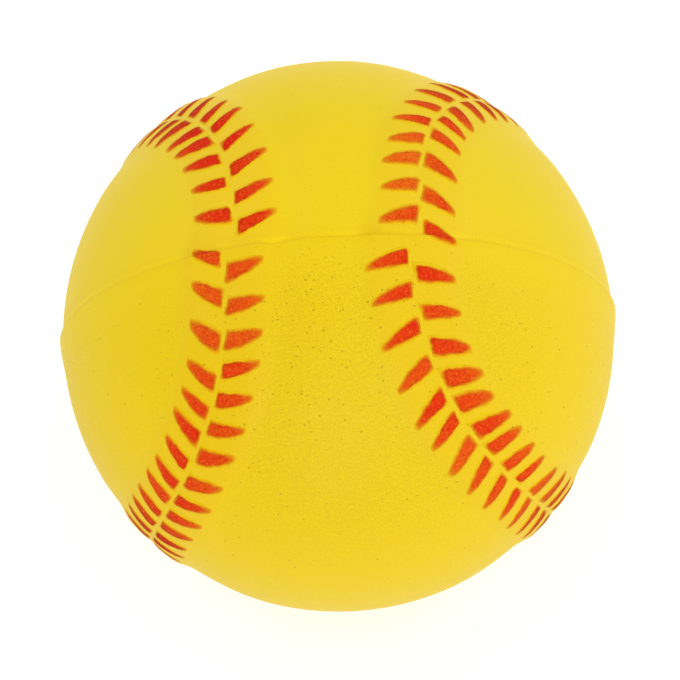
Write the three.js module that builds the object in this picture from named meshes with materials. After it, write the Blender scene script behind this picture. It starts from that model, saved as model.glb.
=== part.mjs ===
import * as THREE from 'three';
import { mergeVertices } from 'three/addons/utils/BufferGeometryUtils.js';

// A moulded foam practice softball. All sizes are in millimetres.
// The origin is the ball's centre. +Y points square out of the mould's parting plane, towards the
// upper half. +Z runs out through the middle of the front panel's neck, and +X is to its right.

// Ball and skin
const BALL_RADIUS = 48.5;
const SKIN_THICKNESS = 1.5;
const CORE_CLEARANCE = 0.3;

// Mould: the halves met slightly turned, and the lower one left a low rim along the parting line
const MOULD_TWIST_DEGREES = 2.44;
const RIM_HEIGHT = 0.58;
const RIM_RUN = 6.5;

// Seam path: the width of a panel's neck, and two numbers that bend the curve around the ball
const NECK_WIDTH = 29.6;
const SEAM_CURL = 0.108;
const SEAM_RISE = 2.089;

// Seam relief, measured across the seam: a faint groove, a raised shoulder on each side, then a
// dip, deeper on the front panel, that comes back to the round of the ball. In a panel's neck it
// comes back just before the middle.
const GROOVE_HALF_WIDTH = 0.7;
const GROOVE_DEPTH = 0.15;
const SHOULDER_WIDTH = 4.8;
const SHOULDER_HEIGHT = 0.38;
const DIP_RUN = 3.6;
const FRONT_DIP_DEPTH = 0.3;
const BACK_DIP_DEPTH = 0.12;
const NECK_FLAT = 1.2;

// In the front panel's lobes the dip takes longer to come back. The change begins at a distance
// from the parting plane, measured along the seam, and is spread over a stretch of seam.
const LOBE_RETURN = 12.5;
const NECK_REACH = 12;
const NECK_TO_LOBE = 26;

// Painted stitch marks: wedges that lie on the shoulders, blunt at the seam and narrow outside.
// Where no spacing is given below, they stand at the pitch and wander a little from it.
const MARK_PITCH = 5.35;
const MARK_WANDER = 0.35;
const MARK_REACH = 5.6;
const MARK_SEAM_WIDTH = 2.8;
const MARK_CREST_WIDTH = 2.0;
const MARK_TIP_WIDTH = 0.9;
const FRONT_TRAIL = 2.5;
const BACK_TRAIL = 1.9;
const MARK_THICKNESS = 0.3;
const MARK_BEVEL = 0.15;
const MARK_CLEARANCE = 0.1;
const PARTING_GAP = 0.25;
const LINK_WIDTH = 0.45;

// The two rows of a mould half, the same in both halves. Near each end of the seam the marks were
// spaced by eye: the lists give, in pitches, the first one's distance from the parting plane and
// then each step.
const ROWS = [
  {
    panel: 'front',
    side: -1,
    trail: FRONT_TRAIL,
    start: [0.7, 0.98, 1.01, 0.87, 0.89, 0.93, 1.08, 1.11, 0.96, 0.96, 0.94],
    end: [0.65, 0.97, 1.05, 1.1, 1.07, 0.83, 0.96, 0.98, 1.01, 1.02, 0.93, 1.02],
  },
  {
    panel: 'back',
    side: 1,
    trail: BACK_TRAIL,
    start: [0.29, 1.17, 1.3, 1.23, 0.98, 0.93, 1.12, 1.01, 0.88, 1.01, 0.95, 0.95],
    end: [1.15, 1.18, 1.06, 1.05, 0.93, 1.11, 0.89, 0.99, 0.93, 1.12, 1.08, 0.96],
  },
];

// Mesh counts
const SEAM_STATIONS = 88;
const NECK_STEPS = 8;
const BACK_STEPS = 5;
const LINING_SIDES = 32;
const LINING_RINGS = 8;
const ARC_SAMPLES = 1440;

// Where the relief's edges lie, counted from the seam
const SHOULDER_EDGE = GROOVE_HALF_WIDTH + SHOULDER_WIDTH;
const DIP_EDGE = SHOULDER_EDGE + DIP_RUN;
const BAND_EDGE = NECK_WIDTH / 2 - NECK_FLAT;
const LOBE_EDGE = DIP_EDGE + LOBE_RETURN;
const relief = (dipDepth) => [
  SHOULDER_HEIGHT - GROOVE_DEPTH, SHOULDER_HEIGHT, SHOULDER_HEIGHT, -dipDepth, 0,
];
const FRONT_RELIEF = relief(FRONT_DIP_DEPTH);
const BACK_RELIEF = relief(BACK_DIP_DEPTH);

// The bend that leaves a neck of the given width between the seams
const NECK_SLOPE = Math.tan(NECK_WIDTH / 2 / BALL_RADIUS);
const SEAM_BEND = 1 + SEAM_CURL - SEAM_RISE * NECK_SLOPE;

// A point of the seam on a ball of radius 1: turn 0 is the right side of the front neck, a half
// turn the left side, and the upper half of the mould holds the turns in between
function seamPoint(turn) {
  return new THREE.Vector3(
    Math.cos(turn) - SEAM_BEND * Math.cos(3 * turn) + SEAM_CURL * Math.cos(5 * turn),
    Math.sin(turn) + SEAM_BEND * Math.sin(3 * turn) + SEAM_CURL * Math.sin(5 * turn),
    SEAM_RISE * Math.cos(2 * turn),
  ).normalize();
}

// Length along the seam at evenly spaced turns of the upper half
function seamLengths() {
  const lengths = [0];
  for (let i = 1; i <= ARC_SAMPLES; i++) {
    const before = seamPoint((Math.PI * (i - 1)) / ARC_SAMPLES);
    const here = seamPoint((Math.PI * i) / ARC_SAMPLES);
    lengths.push(lengths[i - 1] + before.distanceTo(here) * BALL_RADIUS);
  }
  return lengths;
}

const LENGTHS = seamLengths();
const HALF_SEAM = LENGTHS[ARC_SAMPLES];

// The turn at which the seam has run the given length
function turnAt(along) {
  let i = 1;
  while (i < ARC_SAMPLES && LENGTHS[i] < along) {
    i++;
  }
  const share = (along - LENGTHS[i - 1]) / (LENGTHS[i] - LENGTHS[i - 1]);
  return (Math.PI * (i - 1 + share)) / ARC_SAMPLES;
}

// Direction from the ball's centre to a place along the seam and across it. Across is negative on
// the front panel and positive on the back panel.
function seamDirection(along, across) {
  const turn = turnAt(along);
  const nudge = 1e-4;
  const out = seamPoint(turn);
  const forward = seamPoint(turn + nudge).sub(seamPoint(turn - nudge)).normalize();
  const sideways = forward.cross(out).normalize();
  const angle = across / BALL_RADIUS;
  return out.multiplyScalar(Math.cos(angle)).addScaledVector(sideways, Math.sin(angle));
}

// Where the relief's edges lie at a place along the seam, counted outwards from the seam
function reliefEdges(along, across) {
  const fromEnd = Math.min(along, HALF_SEAM - along);
  const lobe = THREE.MathUtils.smoothstep(fromEnd, NECK_REACH, NECK_REACH + NECK_TO_LOBE);
  const spread = across < 0 ? (LOBE_EDGE - BAND_EDGE) * lobe : 0;
  return [0, GROOVE_HALF_WIDTH, SHOULDER_EDGE, DIP_EDGE, BAND_EDGE + spread];
}

// Height of the seam's relief above the ball at a place along the seam and across it
function seamRelief(along, across) {
  const away = Math.abs(across);
  const heights = across < 0 ? FRONT_RELIEF : BACK_RELIEF;
  const edges = reliefEdges(along, across);
  const far = edges.findIndex((edge) => edge >= away);
  if (far < 1) {
    return far === 0 ? heights[0] : 0;
  }
  const near = far - 1;
  const share = (away - edges[near]) / (edges[far] - edges[near]);
  return heights[near] + (heights[far] - heights[near]) * share;
}

// Height of the rim that the lower half of the mould leaves beside the parting plane
function rimHeight(direction, half) {
  if (half === 'upper') {
    return 0;
  }
  const away = Math.asin(Math.min(1, Math.abs(direction.y))) * BALL_RADIUS;
  return RIM_HEIGHT * Math.max(0, 1 - away / RIM_RUN);
}

// A point on or above the skin beside the seam
function seamSurface(half, along, across, above = 0) {
  const direction = seamDirection(along, across);
  const height = seamRelief(along, across) + rimHeight(direction, half) + above;
  return direction.multiplyScalar(BALL_RADIUS + height);
}

// A point on the plain skin in the given direction
function panelSurface(half, direction) {
  return direction.clone().multiplyScalar(BALL_RADIUS + rimHeight(direction, half));
}

// Points along the shortest way around the ball from one direction to another
function arcBetween(from, to, steps) {
  const angle = from.angleTo(to);
  const arc = [];
  for (let i = 0; i <= steps; i++) {
    const share = i / steps;
    if (angle < 1e-6) {
      arc.push(from.clone());
      continue;
    }
    const a = Math.sin((1 - share) * angle) / Math.sin(angle);
    const b = Math.sin(share * angle) / Math.sin(angle);
    arc.push(from.clone().multiplyScalar(a).addScaledVector(to, b));
  }
  return arc;
}

// Collects triangles, each turned so that its face looks the way it is told
class Faces {
  constructor() {
    this.positions = [];
  }

  triangle(a, b, c, looks) {
    const normal = b.clone().sub(a).cross(c.clone().sub(a));
    if (normal.length() < 1e-9) {
      return;
    }
    const order = normal.dot(looks) > 0 ? [a, b, c] : [a, c, b];
    for (const corner of order) {
      this.positions.push(corner.x, corner.y, corner.z);
    }
  }

  quad(a, b, c, d, looks) {
    this.triangle(a, b, c, looks);
    this.triangle(a, c, d, looks);
  }

  // A net of quads over rows of points, looking away from the ball's centre or towards it
  net(rows, sign) {
    for (let i = 1; i < rows.length; i++) {
      for (let j = 1; j < rows[i].length; j++) {
        const looks = rows[i][j].clone().add(rows[i - 1][j - 1]).multiplyScalar(sign);
        this.quad(rows[i - 1][j - 1], rows[i - 1][j], rows[i][j], rows[i][j - 1], looks);
      }
    }
  }

  geometry() {
    const geometry = new THREE.BufferGeometry();
    const positions = new THREE.Float32BufferAttribute(this.positions, 3);
    geometry.setAttribute('position', positions);
    const merged = mergeVertices(geometry, 1e-4);
    merged.computeVertexNormals();
    return merged;
  }
}

// The places across the seam where the band's mesh has lines, from the front panel to the back
function bandLines(along) {
  const front = reliefEdges(along, -1).slice(1).reverse().map((away) => -away);
  return [...front, ...reliefEdges(along, 1)];
}

// Angle of a point around the parting plane, from 0 to a whole turn
function planeAngle(point) {
  const angle = Math.atan2(point.x, point.z);
  return angle < 0 ? angle + 2 * Math.PI : angle;
}

// The flat ring between two loops of points in the parting plane
function addPartingFace(faces, outer, inner) {
  const down = new THREE.Vector3(0, -1, 0);
  const loops = [outer, inner].map((loop) =>
    [...loop].sort((a, b) => planeAngle(a) - planeAngle(b)),
  );
  const flat = loops.map((loop) => loop.map((point) => new THREE.Vector2(point.x, point.z)));
  const corners = loops.flat();
  for (const [a, b, c] of THREE.ShapeUtils.triangulateShape(flat[0], [flat[1]])) {
    faces.triangle(corners[a], corners[b], corners[c], down);
  }
}

// The hollow that the core fills: a half ball of rings, and its open edge in the parting plane
function addLining(faces) {
  const radius = BALL_RADIUS - SKIN_THICKNESS;
  const rings = [];
  for (let i = 0; i <= LINING_RINGS; i++) {
    const climb = (Math.PI / 2) * (i / LINING_RINGS);
    const ring = [];
    for (let j = 0; j <= LINING_SIDES; j++) {
      const around = (2 * Math.PI * (j % LINING_SIDES)) / LINING_SIDES;
      const wide = i === LINING_RINGS ? 0 : Math.cos(climb);
      const direction = new THREE.Vector3(
        wide * Math.sin(around),
        i === 0 ? 0 : Math.sin(climb),
        wide * Math.cos(around),
      );
      ring.push(direction.multiplyScalar(radius));
    }
    rings.push(ring);
  }
  faces.net(rings, -1);
  return rings[0].slice(0, LINING_SIDES);
}

// One half of the skin, built as the upper half: the band along the seam, the front panel's rungs
// from seam to seam, the back panel's rungs from the seam to the parting plane, and the lining
function makeSkin(half) {
  const faces = new Faces();
  const alongs = [];
  for (let i = 0; i <= SEAM_STATIONS; i++) {
    alongs.push((HALF_SEAM * i) / SEAM_STATIONS);
  }
  const band = alongs.map((along) => (
    bandLines(along).map((across) => seamSurface(half, along, across))
  ));
  faces.net(band, 1);

  const frontEdge = alongs.map((along) => seamDirection(along, bandLines(along)[0]));
  const front = [];
  for (let i = 0; i <= SEAM_STATIONS / 2; i++) {
    const arc = arcBetween(frontEdge[i], frontEdge[SEAM_STATIONS - i], NECK_STEPS);
    front.push(arc.map((direction) => panelSurface(half, direction)));
  }
  faces.net(front, 1);

  const back = alongs.map((along) => {
    const edge = seamDirection(along, BAND_EDGE);
    const foot = new THREE.Vector3(edge.x, 0, edge.z).normalize();
    const start = Math.abs(edge.y) < 1e-6 ? foot : edge;
    return arcBetween(start, foot, BACK_STEPS).map((direction) => panelSurface(half, direction));
  });
  faces.net(back, 1);

  const feet = back.slice(1, -1).map((rung) => rung[BACK_STEPS]);
  const rim = [...band[0], ...feet, ...band[SEAM_STATIONS], ...front[0].slice(1, -1)];
  for (const point of rim) {
    point.y = 0;
  }
  addPartingFace(faces, rim, addLining(faces));
  return faces.geometry();
}

// Distances along the seam of a row's marks: the listed ones at both ends, and between them marks
// at about the pitch
function markPlaces(row) {
  const total = (list) => list.reduce((sum, step) => sum + step, 0);
  const distances = (list) => list.map((_, k) => total(list.slice(0, k + 1)) * MARK_PITCH);
  const first = distances(row.start);
  const last = distances(row.end).map((away) => HALF_SEAM - away).reverse();
  const from = first[first.length - 1];
  const span = last[0] - from;
  const intervals = Math.round(span / MARK_PITCH);
  const between = [];
  for (let k = 1; k < intervals; k++) {
    between.push(from + (span * k) / intervals + MARK_WANDER * Math.sin(k * k));
  }
  return [...first, ...between, ...last];
}

// A row of stitch marks, joined along the groove by a hair-thin link of paint
function makeRow(half, row) {
  const faces = new Faces();
  const { side } = row;
  const point = (along, away, above) => seamSurface(half, along, side * away, above);
  const low = MARK_CLEARANCE;
  const high = MARK_CLEARANCE + MARK_THICKNESS;
  const seamEnd = GROOVE_HALF_WIDTH;
  const linkEdge = GROOVE_HALF_WIDTH - LINK_WIDTH;
  const tipEnd = GROOVE_HALF_WIDTH + MARK_REACH;
  const trailAt = (away) => (row.trail * (away - seamEnd)) / MARK_REACH;

  // The section of the link at one place: its lower and upper outer corners and its inner edge
  const linkSection = (along) => ({
    low: point(along, seamEnd, low),
    high: point(along, seamEnd, high),
    edge: point(along, linkEdge, low),
  });
  const addLinkSkin = (a, b) => {
    const out = a.low.clone().add(b.low);
    faces.quad(a.low, b.low, b.edge, a.edge, out.clone().negate());
    faces.quad(a.high, b.high, b.edge, a.edge, out);
  };

  // Where a mark of the given width begins and ends along the seam. The parting plane cuts off
  // what would pass it.
  const behindAt = (along, width) => Math.max(along - width / 2, PARTING_GAP);
  const aheadAt = (along, width) => Math.max(along + width / 2, PARTING_GAP + MARK_TIP_WIDTH);

  // The section of a mark across its length: lower and upper corners behind and ahead
  const markSection = (along, away, width, bevel, rise) => {
    const behind = behindAt(along, width);
    const ahead = aheadAt(along, width);
    return {
      lowBehind: point(behind, away, low),
      lowAhead: point(ahead, away, low),
      highBehind: point(behind + bevel, away, low + rise),
      highAhead: point(ahead - bevel, away, low + rise),
    };
  };
  const addMarkPiece = (a, b) => {
    const out = a.lowBehind.clone().add(b.lowAhead);
    const ahead = a.lowAhead.clone().sub(a.lowBehind);
    faces.quad(a.lowBehind, a.lowAhead, b.lowAhead, b.lowBehind, out.clone().negate());
    faces.quad(a.highBehind, a.highAhead, b.highAhead, b.highBehind, out);
    faces.quad(a.lowAhead, a.highAhead, b.highAhead, b.lowAhead, ahead);
    faces.quad(a.lowBehind, a.highBehind, b.highBehind, b.lowBehind, ahead.clone().negate());
  };

  const places = markPlaces(row);
  let behind = null;
  for (const along of places) {
    const start = linkSection(behindAt(along, MARK_SEAM_WIDTH));
    const end = linkSection(aheadAt(along, MARK_SEAM_WIDTH));
    if (behind === null) {
      faces.triangle(start.low, start.high, start.edge, start.low.clone().sub(end.low));
    } else {
      const aside = start.low.clone().sub(start.edge);
      faces.quad(behind.low, behind.high, start.high, start.low, aside);
      addLinkSkin(behind, start);
    }
    addLinkSkin(start, end);

    const crestAlong = along - trailAt(SHOULDER_EDGE);
    const root = markSection(along, seamEnd, MARK_SEAM_WIDTH, 0, MARK_THICKNESS);
    const crest = markSection(
      crestAlong, SHOULDER_EDGE, MARK_CREST_WIDTH, MARK_BEVEL, MARK_THICKNESS,
    );
    const tip = markSection(
      along - row.trail, tipEnd, MARK_TIP_WIDTH, MARK_TIP_WIDTH / 4, MARK_THICKNESS / 2,
    );
    addMarkPiece(root, crest);
    addMarkPiece(crest, tip);
    const outward = tip.lowBehind.clone().sub(crest.lowBehind);
    faces.quad(tip.lowBehind, tip.lowAhead, tip.highAhead, tip.highBehind, outward);
    if (along === places[places.length - 1]) {
      faces.triangle(end.low, end.high, end.edge, end.low.clone().sub(start.low));
    }
    behind = end;
  }
  return faces.geometry();
}

// The foam core fills the lining, whose flat facets come a little nearer than its corners
function makeCore() {
  const flats = Math.cos(Math.PI / LINING_SIDES) ** 2;
  const radius = (BALL_RADIUS - SKIN_THICKNESS) * flats - CORE_CLEARANCE;
  return new THREE.SphereGeometry(radius, LINING_SIDES, LINING_SIDES / 2);
}

function paint(color, roughness) {
  return new THREE.MeshStandardMaterial({ color, roughness, metalness: 0 });
}

const skinYellow = () => paint(0xecce2a, 0.55);
const stitchRed = () => paint(0xde4418, 0.6);
const foamCream = () => paint(0xf0e2a0, 0.9);

function named(name, geometry, material) {
  const mesh = new THREE.Mesh(geometry, material);
  mesh.name = name;
  return mesh;
}

// Each half of the mould is a group, turned half of the twist. The lower half is the upper one
// carried half a turn around Z.
function makeHalf(half) {
  const group = new THREE.Group();
  const twist = THREE.MathUtils.degToRad(MOULD_TWIST_DEGREES) / 2;
  group.add(named(`${half}_skin`, makeSkin(half), skinYellow()));
  for (const row of ROWS) {
    group.add(named(`${half}_${row.panel}_stitches`, makeRow(half, row), stitchRed()));
  }
  if (half === 'lower') {
    group.rotation.set(0, -twist, Math.PI, 'XYZ');
  } else {
    group.rotation.set(0, twist, 0);
  }
  return group;
}

const ball = new THREE.Group();
ball.add(named('foam_core', makeCore(), foamCream()));
ball.add(makeHalf('upper'));
ball.add(makeHalf('lower'));

export default ball;
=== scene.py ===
import math

import bmesh
import bpy
import numpy as np
from mathutils import Matrix, Vector, noise


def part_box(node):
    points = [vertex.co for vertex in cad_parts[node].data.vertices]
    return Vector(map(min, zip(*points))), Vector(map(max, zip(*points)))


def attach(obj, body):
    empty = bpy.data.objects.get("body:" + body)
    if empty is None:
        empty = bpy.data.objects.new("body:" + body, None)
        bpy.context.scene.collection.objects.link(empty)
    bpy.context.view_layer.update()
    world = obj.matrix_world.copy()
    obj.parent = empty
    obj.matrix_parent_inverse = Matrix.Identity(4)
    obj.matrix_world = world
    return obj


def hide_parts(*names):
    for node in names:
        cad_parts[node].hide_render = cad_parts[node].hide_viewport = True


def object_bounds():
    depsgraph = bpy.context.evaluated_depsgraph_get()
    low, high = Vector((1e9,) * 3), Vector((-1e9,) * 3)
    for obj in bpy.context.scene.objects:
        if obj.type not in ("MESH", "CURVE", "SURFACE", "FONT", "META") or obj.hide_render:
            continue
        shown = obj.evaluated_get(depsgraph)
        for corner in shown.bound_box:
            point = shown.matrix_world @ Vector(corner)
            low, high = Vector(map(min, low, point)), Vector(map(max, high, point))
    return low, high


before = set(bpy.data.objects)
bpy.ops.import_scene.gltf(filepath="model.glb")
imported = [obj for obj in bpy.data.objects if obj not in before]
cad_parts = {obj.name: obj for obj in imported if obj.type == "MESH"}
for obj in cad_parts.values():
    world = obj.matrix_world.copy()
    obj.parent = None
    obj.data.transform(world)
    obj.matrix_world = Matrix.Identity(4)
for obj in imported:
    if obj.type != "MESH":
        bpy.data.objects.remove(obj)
cad_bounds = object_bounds()

# Real sizes, in metres
MM = 0.001

# Ball and mould
BALL_RADIUS = 48.5 * MM
SKIN_THICKNESS = 1.5 * MM
MOULD_TWIST = math.radians(2.44)
RIM_HEIGHT = 0.58 * MM
RIM_RUN = 6.5 * MM
RIM_ROUND = 0.3 * MM
RIM_ROUND_DROP = 0.12 * MM
RIM_POWER = 1.35

# Seam path: the width of a panel's neck, and two numbers that bend the curve around the ball
NECK_WIDTH = 29.6 * MM
SEAM_CURL = 0.108
SEAM_RISE = 2.089
SEAM_BEND = 1 + SEAM_CURL - SEAM_RISE * math.tan(NECK_WIDTH / 2 / BALL_RADIUS)

# Seam relief: distance from the seam, and height over the plain ball. A shallow groove, a raised
# shoulder, then a dip, deeper on the front panel, that comes back to the round of the ball.
DIP_EDGE = 9.1 * MM
BAND_EDGE = 13.6 * MM
FRONT_DIP_DEPTH = 0.3 * MM
BACK_DIP_DEPTH = 0.12 * MM
SHOULDER = (
    (0.0, 0.27 * MM), (0.3 * MM, 0.3 * MM), (2.4 * MM, 0.41 * MM), (5.0 * MM, 0.39 * MM),
)
FRONT_RELIEF = SHOULDER + ((DIP_EDGE, -FRONT_DIP_DEPTH), (BAND_EDGE, 0.0))
BACK_RELIEF = SHOULDER + ((DIP_EDGE, -BACK_DIP_DEPTH), (BAND_EDGE, 0.0))

# In the front panel's lobes the dip takes longer to come back
LOBE_EDGE = 21.6 * MM
NECK_REACH = 12.0 * MM
NECK_TO_LOBE = 26.0 * MM

# Stitch marks: their places, and the wedge of paint, blunt at the seam, which grows a little
# longer from one end of a half's seam to the other
MARK_PITCH = 5.35 * MM
MARK_WANDER = 0.35 * MM
MARK_ROOT_GAP = 0.5 * MM
MARK_LENGTH = 5.7 * MM
MARK_ROOT_WIDTH = 2.65 * MM
MARK_TIP_WIDTH = 0.7 * MM
MARK_TAPER = 2.6
MARK_REACH_GAIN = 0.11

# A mark's pad: how much wider it is than the paint, how far its middle stands over the skin, how
# far its edges and its underside lie below it, and how close to the parting plane a point may be
# before it goes to the plane's side
MARK_MARGIN = 0.9 * MM
MARK_CROWN = 0.12 * MM
MARK_SINK = 0.06 * MM
MARK_DEPTH = 0.3 * MM
MARK_SNAP = 1.05 * MM
SEAT_CLEARANCE = 0.1 * MM
PARTING_CLEARANCE = 0.02 * MM
CROSSING_REACH = MARK_PITCH / 2
CROSSING_LIFT = 0.06 * MM

# The two rows of a mould half, the same in both halves. Near each end of the seam the marks are
# spaced and sized one by one: the lists give, in pitches, the first one's distance from the parting
# plane and then each step, and how wide each mark is beside a plain one. The first three or so
# also stand a little squarer to the seam.
ROWS = (
    {
        "panel": "front", "side": -1, "trail": 2.5 * MM,
        "start": (0.7, 0.98, 1.01, 0.87, 0.89, 0.93, 1.08, 1.11, 0.96, 0.96, 0.94),
        "start_sizes": (1.03, 0.9, 1.04, 0.95, 0.97, 0.94, 1.15, 1.15, 1.1, 1.06, 1.04),
        "start_turn": 0.2,
        "end": (0.65, 0.97, 1.05, 1.1, 1.07, 0.83, 0.96, 0.98, 1.01, 1.02, 0.93, 1.02),
        "end_sizes": (0.92, 0.9, 1.0, 0.92, 1.05, 0.9, 1.0, 0.95, 0.95, 0.88, 0.8, 0.85),
        "end_turn": 0.12,
    },
    {
        "panel": "back", "side": 1, "trail": 1.9 * MM,
        "start": (0.29, 1.17, 1.3, 1.23, 0.98, 0.93, 1.12, 1.01, 0.88, 1.01, 0.95, 0.95),
        "start_sizes": (0.87, 0.96, 1.14, 0.94, 0.9, 1.12, 1.0, 1.02, 1.05, 1.05, 1.05, 1.0),
        "start_turn": -0.1,
        "end": (1.15, 1.18, 1.06, 1.05, 0.93, 1.11, 0.89, 0.99, 0.93, 1.12, 1.08, 0.96),
        "end_sizes": (1.0, 0.88, 1.06, 1.2, 1.17, 1.2, 1.1, 1.0, 0.85, 0.95, 1.0, 0.95),
        "end_turn": 0.11,
    },
)

# Where the spray was thin: the middle of each spot, how far it reaches and how thin it got
THIN_SPOTS = (
    ((-16.4 * MM, -8.1 * MM, 44.9 * MM), 13.5 * MM, 0.52),
    ((9.1 * MM, 13.8 * MM, 45.6 * MM), 15.0 * MM, 1.0),
    ((31.6 * MM, -35.7 * MM, 8.7 * MM), 13.0 * MM, 0.8),
    ((19.4 * MM, -34.3 * MM, 28.2 * MM), 9.0 * MM, 0.5),
)

# Where the spray was thickest, and how far from there it has got to its usual thickness
THICK_SPOT = ((-15.2 * MM, 11.8 * MM, 44.5 * MM), 24.0 * MM)

ROW_SEEDS = {"upper_front": 3, "upper_back": 11, "lower_front": 19, "lower_back": 27}

# Sprayed edges: how round a mark's corners are, how far its edge strays, how soft it is where the
# mask sat tight, where it stood off and at the tip, how far the mist reaches past it, where the
# dull line inside it lies, and how far inside the middle begins
CORNER_ROUND = 0.9 * MM
RAGGED_REACH = 0.6 * MM
CRUMBLE_REACH = 0.3 * MM
CRISP_EDGE = 0.15 * MM
SOFT_EDGE = 0.55 * MM
TIP_SOFTNESS = 0.25 * MM
MIST_REACH = 0.62 * MM
DULL_LINE = (-0.55 * MM, -0.05 * MM)
MARK_MIDDLE = (-1.5 * MM, -0.35 * MM)
PAINT_FILM = 0.04 * MM

# Where the skin's grain is coarsest, and how far from there it has grown fine
ROUGHEST_SPOT = ((6.7 * MM, -22.7 * MM, 42.3 * MM), 42.0 * MM)

# Skin finish: how far from the parting plane and from the seam its changes lie, a painted highlight
# and painted shade among them, and its relief
WARMTH_REACH = 14.0 * MM
ROUGH_FROM = 1.0 * MM
ROUGH_PAST = -8.0 * MM
HIGHLIGHT_BAND = (0.3 * MM, 1.6 * MM)
CREASE_SHADE_BAND = 2.5 * MM
HAZE_FADE = (5.5 * MM, 8.8 * MM)
SMOOTH_SHOULDER = (5.0 * MM, 9.0 * MM)
PINHOLES_PER_METRE = 1250.0
PINHOLE_DEPTH = 0.1 * MM
GRAIN_DEPTH = 0.045 * MM
PEEL_DEPTH = 0.1 * MM

# Foam core: the size and depth of its surface cells
CELL_SIZE = 1.6 * MM
CELL_DEPTH = 0.35 * MM
CELL_STEEPNESS = 1.6
CELL_WALL_HEIGHT = 0.3 * MM

# Mesh spacing
SEAM_STEP = 1.1 * MM
PARTING_STEPS = tuple(
    step * MM for step in (0.1, 0.22, 0.4, 0.7, 1.1, 1.6, 2.3, 3.1, 4.0, 5.0, 6.0)
)
SHOULDER_LINES = tuple(
    line * MM
    for line in (0, 0.15, 0.3, 0.6, 1.0, 1.5, 2.0, 2.5, 3.0, 3.6, 4.3, 5.0, 5.5, 6.0, 6.5, 7.0,
                 7.5, 8.0, 8.5)
)
RETURN_LINES = tuple(line * MM for line in (9.8, 10.6, 11.5, 12.5))
BAND_LINES = SHOULDER_LINES + (DIP_EDGE,) + RETURN_LINES + (BAND_EDGE,)
MERGE_DISTANCE = 2e-7
EMPTY_EDGE = 1e-7
SHARP_ANGLE = math.radians(50)
NECK_STEPS = 36
BACK_STEPS = 22
BACK_CROWDING = 1.6
FOOT_LEAD = 0.5
FOOT_LEAD_END = 24.0 * MM
LINING_RINGS = 8
CORE_SUBDIVISIONS = 6
ARC_SAMPLES = 2880
PATH_SAMPLES = 561

# Camera, floor and light
CAMERA_AZIMUTH = math.radians(5.94)
CAMERA_ELEVATION = math.radians(71.28)
CAMERA_ROLL = math.radians(-9.63)
CAMERA_DISTANCE = 8.0 * BALL_RADIUS
IMAGE_SIZE = 680
SILHOUETTE_RADIUS_PIXELS = 275.4
SILHOUETTE_CENTRE_PIXELS = (338.4, 336.3)
SENSOR_WIDTH = 36.0
FLOOR_HALF_SIZE = 4.0
WORLD_FILL = 0.62
LAMP_SIZE = 0.9
LAMPS = (
    ("near_lamp", (0.0, -0.77, 0.57), 3.75),
    ("right_lamp", (0.72, 0.36, 0.5), 2.5),
    ("left_lamp", (-0.58, 0.53, 0.55), 2.35),
    ("low_lamp", (0.96, -0.2, 0.2), 0.9),
)


# Seam path

def seam_point(turn):
    """Directions of the seam: turn 0 is the right side of the front neck, pi its left side."""
    turn = np.asarray(turn, float)
    points = np.stack((
        np.cos(turn) - SEAM_BEND * np.cos(3 * turn) + SEAM_CURL * np.cos(5 * turn),
        np.sin(turn) + SEAM_BEND * np.sin(3 * turn) + SEAM_CURL * np.sin(5 * turn),
        SEAM_RISE * np.cos(2 * turn),
    ), axis=-1)
    return points / np.linalg.norm(points, axis=-1, keepdims=True)


ARC_TURNS = np.linspace(0.0, math.pi, ARC_SAMPLES + 1)
ARC_STEPS = np.linalg.norm(np.diff(seam_point(ARC_TURNS), axis=0), axis=1)
ARC_LENGTHS = np.concatenate(((0.0,), np.cumsum(ARC_STEPS))) * BALL_RADIUS
HALF_SEAM = float(ARC_LENGTHS[-1])


def seam_direction(along, across):
    """Directions at distances along the seam and across it, negative on the front panel."""
    turn = np.interp(along, ARC_LENGTHS, ARC_TURNS)
    nudge = 1e-4
    out = seam_point(turn)
    forward = seam_point(turn + nudge) - seam_point(turn - nudge)
    forward /= np.linalg.norm(forward, axis=-1, keepdims=True)
    sideways = np.cross(forward, out)
    sideways /= np.linalg.norm(sideways, axis=-1, keepdims=True)
    angle = np.asarray(across, float)[..., None] / BALL_RADIUS
    return out * np.cos(angle) + sideways * np.sin(angle)


def half_matrix(half):
    """Carries the upper half's shape to its place: the halves met slightly turned."""
    if half == "upper":
        return np.array(Matrix.Rotation(MOULD_TWIST / 2, 3, "Y"))
    turn = Matrix.Rotation(-MOULD_TWIST / 2, 3, "Y") @ Matrix.Rotation(math.pi, 3, "Z")
    return np.array(turn)


# Skin halves

def eased_profile(distance, points):
    """Heights that pass smoothly through the given pairs of distance and height."""
    places = np.array([place for place, _ in points])
    heights = np.array([height for _, height in points])
    distance = np.clip(distance, places[0], places[-1])
    index = np.clip(np.searchsorted(places, distance, side="right") - 1, 0, len(places) - 2)
    share = (distance - places[index]) / (places[index + 1] - places[index])
    share = share * share * (3 - 2 * share)
    return heights[index] + (heights[index + 1] - heights[index]) * share


def band_place(along, line):
    """Places across the seam of the band's lines: past the dip they spread out in front lobes."""
    from_end = np.minimum(along, HALF_SEAM - along)
    share = np.clip((from_end - NECK_REACH) / NECK_TO_LOBE, 0, 1)
    edge = BAND_EDGE + (LOBE_EDGE - BAND_EDGE) * share * share * (3 - 2 * share)
    past = np.maximum(-line - DIP_EDGE, 0)
    return line - past * ((edge - DIP_EDGE) / (BAND_EDGE - DIP_EDGE) - 1)


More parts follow.
